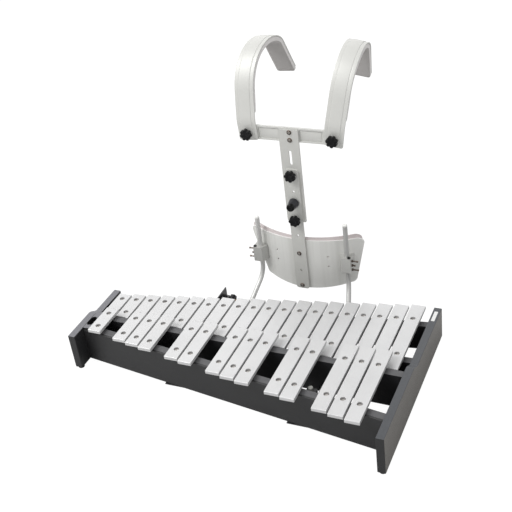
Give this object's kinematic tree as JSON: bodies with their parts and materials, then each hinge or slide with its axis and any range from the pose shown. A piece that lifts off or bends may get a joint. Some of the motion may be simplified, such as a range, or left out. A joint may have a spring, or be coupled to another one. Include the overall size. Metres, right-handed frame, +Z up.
{
  "type": "marching glockenspiel",
  "caption": "Marching glockenspiel with two rows of aluminium bars on a tapered black frame, held by a shoulder carrier with belly plate, spine, crossbar and two shoulder hooks.",
  "frame": {"origin": "middle of the floor area that the whole object covers, on the floor under the feet", "axes": "+X along the keyboard towards the low notes, +Y towards the player, +Z up"},
  "size_m": [0.796, 0.6814, 0.6539],
  "materials": {
    "end_plate_black": "black paint with a fine grain, satin",
    "rail_black": "black paint, satin",
    "board_black": "black paint, smooth satin",
    "foot_rubber": "matte",
    "strip_white": "thin pale strip, left bare",
    "bar_metal": "brushed and anodised, pale",
    "spacer_rubber": "dark brown, matte",
    "post_steel": "plated",
    "rod_metal": "satin grey",
    "cap_white": "smooth",
    "bracket_black": "black, satin",
    "screw_black": "blackened",
    "knob_black": "fine texture, slight sheen",
    "pull_knob_gloss": "glossy",
    "stud_brass": "dull",
    "carrier_white": "off-white powder coat",
    "screw_bronze": "brown plated",
    "pad_foam": "foam skin, grey with a pink tint"
  },
  "bodies": {
    "glockenspiel": {"left_end_plate": "end_plate_black", "right_end_plate": "end_plate_black", "front_rail": "rail_black", "front_board": "board_black", "raised_row_rail": "rail_black", "natural_row_rail": "rail_black", "rear_rail": "rail_black", "hand_board": "end_plate_black", "rubber_feet": "foot_rubber", "blank_strip": "strip_white", "natural_bars_1": "bar_metal", "natural_bars_2": "bar_metal", "natural_bars_3": "bar_metal", "natural_bars_4": "bar_metal", "natural_bars_5": "bar_metal", "natural_bars_6": "bar_metal", "raised_bars_1": "bar_metal", "raised_bars_2": "bar_metal", "raised_bars_3": "bar_metal", "raised_bars_4": "bar_metal", "raised_bars_5": "bar_metal", "raised_bars_6": "bar_metal", "bar_spacers": "spacer_rubber", "post_screws": "post_steel", "rod_left": "rod_metal", "rod_right": "rod_metal", "rod_caps": "cap_white", "saddle_left": "bracket_black", "saddle_right": "bracket_black", "saddle_screws": "screw_black", "lyre_arm": "bracket_black", "lyre_screws": "screw_black", "lyre_socket": "bracket_black"},
    "saddle_knob_left": {"saddle_knob_left": "knob_black"},
    "saddle_knob_right": {"saddle_knob_right": "knob_black"},
    "lyre_knob": {"lyre_knob": "knob_black", "lyre_stud": "stud_brass"},
    "belly": {"belly_plate": "carrier_white", "belly_pad": "pad_foam", "clamp_left": "carrier_white", "clamp_right": "carrier_white", "clamp_screws": "screw_bronze", "clamp_set_screws": "screw_black", "lower_spine": "carrier_white", "spine_screws": "screw_bronze", "plunger_sleeve": "bracket_black", "spine_nuts": "screw_bronze"},
    "pull_knob": {"pull_knob": "pull_knob_gloss"},
    "spine_knob_upper": {"spine_knob_upper": "knob_black"},
    "spine_knob_lower": {"spine_knob_lower": "knob_black"},
    "yoke": {"upper_spine": "carrier_white", "crossbar": "carrier_white", "crossbar_screws": "screw_bronze"},
    "left_hook": {"hook_left": "carrier_white", "hook_pad_left": "pad_foam"},
    "right_hook": {"hook_right": "carrier_white", "hook_pad_right": "pad_foam"},
    "hook_knob_left": {"hook_knob_left": "knob_black"},
    "hook_knob_right": {"hook_knob_right": "knob_black"}
  },
  "joints": [
    {"name": "belly_height", "type": "slide", "parent": "glockenspiel", "child": "belly", "axis": [0, 0, 1], "range_m": [-0.01, 0.06]},
    {"name": "yoke_height", "type": "slide", "parent": "belly", "child": "yoke", "axis": [0, 0, 1], "range_m": [0, 0.08]},
    {"name": "plunger_pull", "type": "slide", "parent": "belly", "child": "pull_knob", "axis": [0, -1, 0], "range_m": [0, 0.006], "stiffness_N_per_m": 900, "springref_m": -0.004},
    {"name": "left_hook_turn", "type": "hinge", "parent": "yoke", "child": "left_hook", "pos_m": [-0.054, 0.15403, 0.467], "axis": [0, 1, 0], "range_deg": [-18, 15]},
    {"name": "right_hook_turn", "type": "hinge", "parent": "yoke", "child": "right_hook", "pos_m": [0.151, 0.15403, 0.467], "axis": [0, 1, 0], "range_deg": [-22, 10]},
    {"name": "hook_knob_left_turn", "type": "hinge", "parent": "yoke", "child": "hook_knob_left", "pos_m": [-0.054, 0.15403, 0.467], "axis": [0, -1, 0], "continuous": true},
    {"name": "hook_knob_right_turn", "type": "hinge", "parent": "yoke", "child": "hook_knob_right", "pos_m": [0.151, 0.15403, 0.467], "axis": [0, -1, 0], "continuous": true},
    {"name": "spine_knob_upper_turn", "type": "hinge", "parent": "belly", "child": "spine_knob_upper", "pos_m": [0.045, 0.14933, 0.372], "axis": [0, -1, 0], "continuous": true},
    {"name": "spine_knob_lower_turn", "type": "hinge", "parent": "belly", "child": "spine_knob_lower", "pos_m": [0.045, 0.14933, 0.254], "axis": [0, -1, 0], "continuous": true},
    {"name": "saddle_knob_left_turn", "type": "hinge", "parent": "glockenspiel", "child": "saddle_knob_left", "pos_m": [-0.11, -0.18272, 0.064], "axis": [1, 0, 0], "continuous": true},
    {"name": "saddle_knob_right_turn", "type": "hinge", "parent": "glockenspiel", "child": "saddle_knob_right", "pos_m": [0.205, -0.22622, 0.064], "axis": [1, 0, 0], "continuous": true},
    {"name": "lyre_knob_turn", "type": "hinge", "parent": "glockenspiel", "child": "lyre_knob", "pos_m": [-0.1255, 0.06468, 0.053], "axis": [1, 0, 0], "continuous": true}
  ]
}
